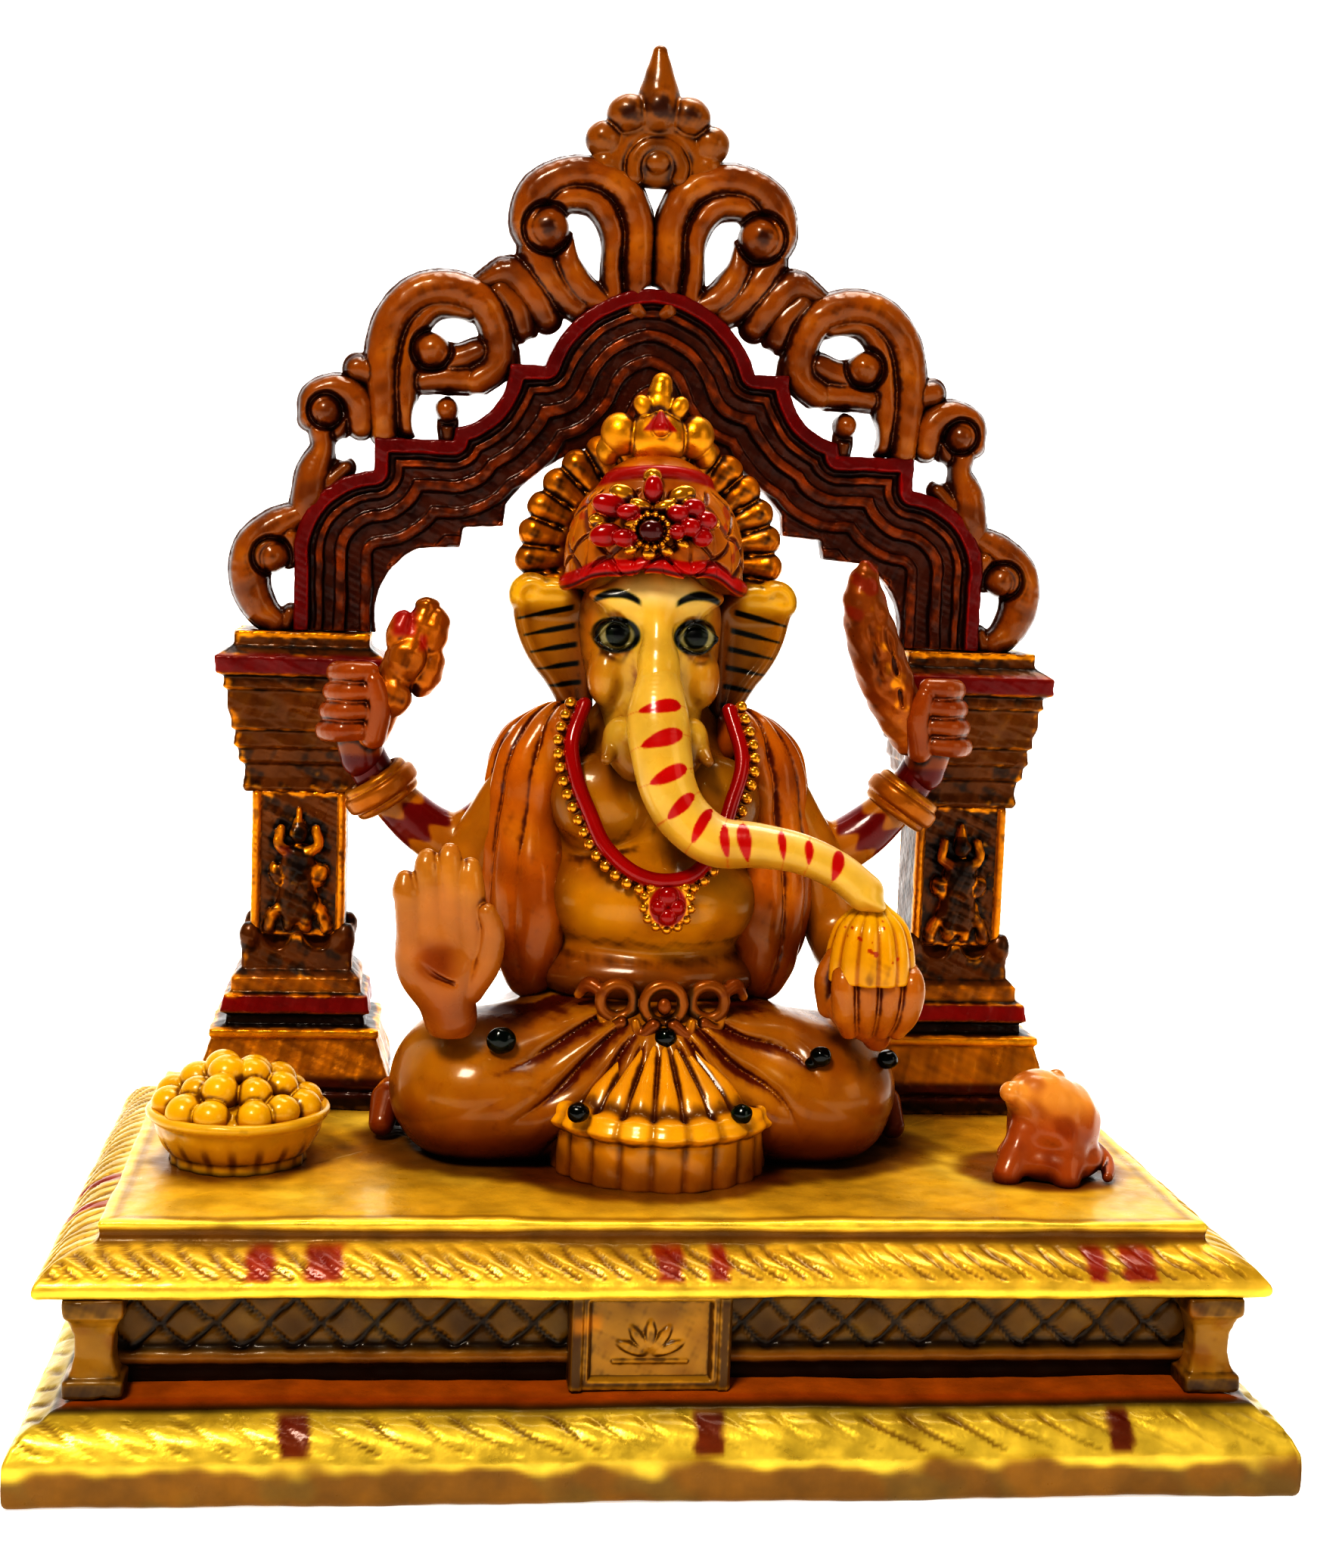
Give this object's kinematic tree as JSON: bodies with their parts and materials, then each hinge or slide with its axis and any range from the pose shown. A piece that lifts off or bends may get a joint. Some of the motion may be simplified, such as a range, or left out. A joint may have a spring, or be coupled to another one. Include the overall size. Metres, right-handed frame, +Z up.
{
  "type": "ganesha idol",
  "caption": "Seated four-armed elephant-headed deity statuette in painted cast resin, on a stepped base under an openwork scrolled arch carried by pillars.",
  "frame": {"origin": "centre of the base's underside", "axes": "+Z up, the front faces -Y, +X to the right of someone looking at the front"},
  "size_m": [0.12, 0.078, 0.1418],
  "materials": {
    "gilt_ochre": "ochre marble-dust resin, edges painted gold with a brown wash, lacquered",
    "cream_resin": "cream marble-dust resin under a grey-brown wash, lacquered",
    "antique_gold": "dark brown wash over gold paint, rubbed back on the edges, lacquered",
    "caramel_resin": "translucent caramel resin with dark wash in the hollows, lacquered",
    "ochre_resin": "ochre resin with a brown wash in the folds, lacquered",
    "amber_shawl": "amber resin with a brown wash in the folds, lacquered",
    "ivory_yellow_resin": "pale yellow resin with painted brows, eyes and stripes, lacquered",
    "pink_resin": "pink-brown tinted resin, lacquered",
    "gold_paint": "gold paint over resin with a brown wash, lacquered",
    "red_paint": "glossy red paint over resin",
    "yellow_resin": "bright yellow resin, lacquered",
    "black_enamel": "glossy blue-black enamel dots"
  },
  "bodies": {
    "root": {"arch_band": "antique_gold", "arm_front_left": "ochre_resin", "arm_front_right": "ochre_resin", "arm_rear_left": "ochre_resin", "arm_rear_right": "ochre_resin", "attribute_left": "gold_paint", "attribute_right": "gold_paint", "base_deck": "gilt_ochre", "base_frieze": "cream_resin", "base_plinth": "gilt_ochre", "belt_clasp": "gold_paint", "bracelet_left": "gold_paint", "bracelet_right": "gold_paint", "cloth_studs": "black_enamel", "corner_post_back_left": "cream_resin", "corner_post_back_right": "cream_resin", "corner_post_front_left": "cream_resin", "corner_post_front_right": "cream_resin", "crown": "gold_paint", "crown_jewel": "red_paint", "crown_topknot": "gold_paint", "dhoti_fan": "ochre_resin", "ear_left": "ivory_yellow_resin", "ear_right": "ivory_yellow_resin", "finial": "caramel_resin", "front_plaque": "cream_resin", "halo": "gold_paint", "hand_holding": "pink_resin", "hand_rear_left": "pink_resin", "hand_rear_right": "pink_resin", "head": "ivory_yellow_resin", "laddu_heap": "yellow_resin", "legs": "ochre_resin", "modak": "yellow_resin", "mouse": "pink_resin", "necklace": "red_paint", "offering_bowl": "ochre_resin", "palm_raised": "pink_resin", "pendant": "red_paint", "pillar_base_left": "antique_gold", "pillar_base_right": "antique_gold", "pillar_capital_left": "antique_gold", "pillar_capital_right": "antique_gold", "pillar_shaft_left": "antique_gold", "pillar_shaft_right": "antique_gold", "scroll_low_left": "caramel_resin", "scroll_low_right": "caramel_resin", "scroll_ring_left": "caramel_resin", "scroll_ring_right": "caramel_resin", "scroll_small_left": "caramel_resin", "scroll_small_right": "caramel_resin", "scroll_upper_left": "caramel_resin", "scroll_upper_right": "caramel_resin", "shawl_left": "amber_shawl", "shawl_right": "amber_shawl", "torso": "ochre_resin", "trunk": "ivory_yellow_resin", "tusk_left": "ivory_yellow_resin", "tusk_right": "ivory_yellow_resin"}
  },
  "joints": []
}
